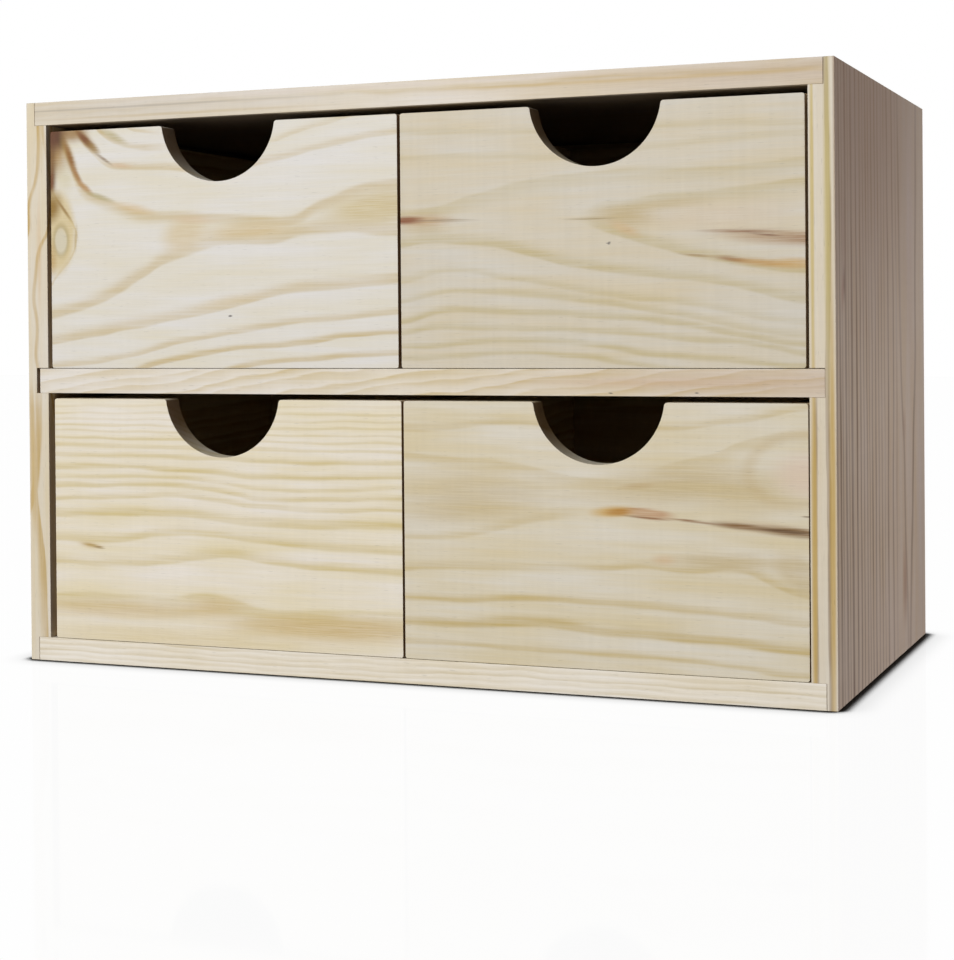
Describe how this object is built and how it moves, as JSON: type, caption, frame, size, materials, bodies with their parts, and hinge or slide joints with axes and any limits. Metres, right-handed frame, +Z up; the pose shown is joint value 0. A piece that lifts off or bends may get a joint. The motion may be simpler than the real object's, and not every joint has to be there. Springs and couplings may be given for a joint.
{
  "type": "desktop mini drawers",
  "caption": "Small unfinished pine cabinet for a desk, with rows of pull-out box drawers that have round finger notches and slide on plain boards.",
  "frame": {"origin": "middle of the footprint, on the surface that the cabinet stands on", "axes": "+Z up; +X to the right as seen from the front; the drawer fronts face -Y"},
  "size_m": [0.3, 0.17, 0.206],
  "materials": {
    "cabinet_pine": "planed, unfinished pine",
    "drawer_front_pine": "planed, unfinished pine",
    "drawer_pine": "planed, unfinished pine",
    "plywood": "sanded thin plywood",
    "brad_steel": "bright drawn wire"
  },
  "bodies": {
    "cabinet": {"cabinet_left_side": "cabinet_pine", "cabinet_right_side": "cabinet_pine", "cabinet_top": "cabinet_pine", "middle_shelf": "cabinet_pine", "cabinet_bottom": "cabinet_pine", "back_panel": "plywood", "back_panel_brads": "brad_steel"},
    "upper_left_drawer": {"upper_left_drawer_front": "drawer_front_pine", "upper_left_drawer_left_side": "drawer_pine", "upper_left_drawer_right_side": "drawer_pine", "upper_left_drawer_back": "drawer_pine", "upper_left_drawer_bottom": "plywood", "upper_left_drawer_brads": "brad_steel"},
    "upper_right_drawer": {"upper_right_drawer_front": "drawer_front_pine", "upper_right_drawer_left_side": "drawer_pine", "upper_right_drawer_right_side": "drawer_pine", "upper_right_drawer_back": "drawer_pine", "upper_right_drawer_bottom": "plywood", "upper_right_drawer_brads": "brad_steel"},
    "lower_left_drawer": {"lower_left_drawer_front": "drawer_front_pine", "lower_left_drawer_left_side": "drawer_pine", "lower_left_drawer_right_side": "drawer_pine", "lower_left_drawer_back": "drawer_pine", "lower_left_drawer_bottom": "plywood", "lower_left_drawer_brads": "brad_steel"},
    "lower_right_drawer": {"lower_right_drawer_front": "drawer_front_pine", "lower_right_drawer_left_side": "drawer_pine", "lower_right_drawer_right_side": "drawer_pine", "lower_right_drawer_back": "drawer_pine", "lower_right_drawer_bottom": "plywood", "lower_right_drawer_brads": "brad_steel"}
  },
  "joints": [
    {"name": "upper_left_drawer_slide", "type": "slide", "parent": "cabinet", "child": "upper_left_drawer", "axis": [0, -1, 0], "range_m": [0, 0.13]},
    {"name": "upper_right_drawer_slide", "type": "slide", "parent": "cabinet", "child": "upper_right_drawer", "axis": [0, -1, 0], "range_m": [0, 0.13]},
    {"name": "lower_left_drawer_slide", "type": "slide", "parent": "cabinet", "child": "lower_left_drawer", "axis": [0, -1, 0], "range_m": [0, 0.13]},
    {"name": "lower_right_drawer_slide", "type": "slide", "parent": "cabinet", "child": "lower_right_drawer", "axis": [0, -1, 0], "range_m": [0, 0.13]}
  ]
}
